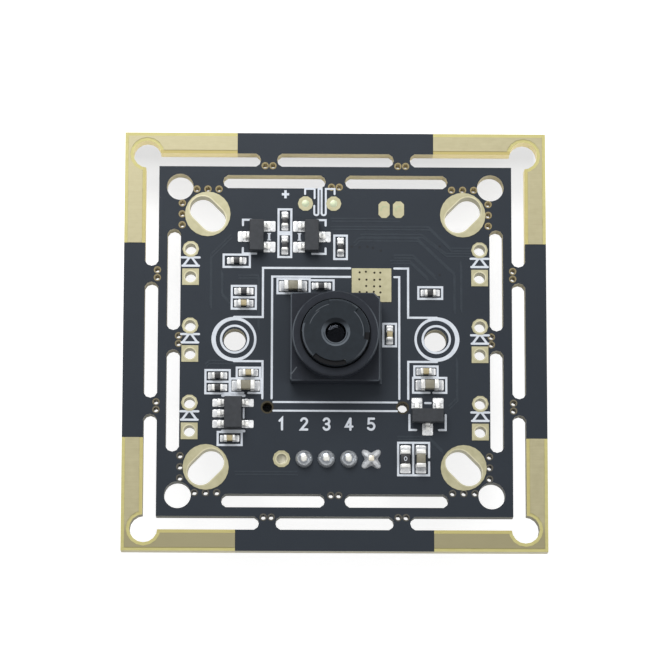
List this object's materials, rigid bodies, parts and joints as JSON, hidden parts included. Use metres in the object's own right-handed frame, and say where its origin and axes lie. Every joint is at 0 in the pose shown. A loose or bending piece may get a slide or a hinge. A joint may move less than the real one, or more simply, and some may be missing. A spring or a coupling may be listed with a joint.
{
  "type": "camera module",
  "caption": "Square circuit board with snap-off rims, a fixed lens in a square holder over an image sensor, small chip parts round it, and a cable header on its back.",
  "frame": {"origin": "centre of the board's back face, which is the centre of the four main screw holes", "axes": "+Z the way the lens looks, +Y up in the picture that the camera takes, +X to the right when looking at the lens"},
  "size_m": [0.038, 0.038, 0.012],
  "materials": {
    "board": "satin solder mask",
    "gold": "dull gold plating",
    "solder": "bright tin",
    "tin": "satin tin plating",
    "moulding": "matte mould compound",
    "resistor_glaze": "satin glaze",
    "capacitor_ceramic": "matte",
    "lens_plastic": "fine matte",
    "lens_glass": "coated",
    "filter_glass": "coated",
    "sensor": "polished",
    "header_plastic": "moulded",
    "header_pin": "tin plated",
    "crystal_metal": "satin"
  },
  "bodies": {
    "root": {"back_capacitors": "capacitor_ceramic", "back_resistors": "resistor_glaze", "back_solder": "solder", "back_terminals": "tin", "capacitor_1": "capacitor_ceramic", "capacitor_2": "capacitor_ceramic", "capacitor_3": "capacitor_ceramic", "capacitor_4": "capacitor_ceramic", "capacitor_5": "capacitor_ceramic", "capacitor_6": "capacitor_ceramic", "capacitor_7": "capacitor_ceramic", "capacitor_8": "capacitor_ceramic", "capacitor_9": "capacitor_ceramic", "chip_terminals": "tin", "circuit_board": "board", "controller_chip": "moulding", "controller_leads": "tin", "corner_copper": "gold", "crystal_base": "sensor", "crystal_lid": "crystal_metal", "free_pin_pad": "gold", "front_lens": "lens_glass", "ground_pad": "gold", "header_housing": "header_plastic", "header_pins": "header_pin", "image_sensor": "sensor", "infrared_filter": "filter_glass", "lamp_supply_pads": "gold", "led_pads": "gold", "lens_barrel": "lens_plastic", "lens_holder": "lens_plastic", "lens_spacer": "lens_plastic", "memory_chip": "moulding", "memory_leads": "tin", "microphone_pads": "gold", "middle_lens": "lens_glass", "mounting_pads": "gold", "pin_solder": "solder", "rear_lens": "lens_glass", "regulator": "moulding", "regulator_leads": "tin", "resistor_1": "resistor_glaze", "resistor_2": "resistor_glaze", "resistor_3": "resistor_glaze", "resistor_4": "resistor_glaze", "resistor_5": "resistor_glaze", "resistor_6": "resistor_glaze", "resistor_7": "resistor_glaze", "resistor_8": "resistor_glaze", "resistor_9": "resistor_glaze", "retaining_ring": "lens_plastic", "sensor_glass": "filter_glass", "solder_joints": "solder", "transistor_1": "moulding", "transistor_2": "moulding", "transistor_3": "moulding", "transistor_leads": "tin", "zero_ohm_link": "resistor_glaze"}
  },
  "joints": []
}
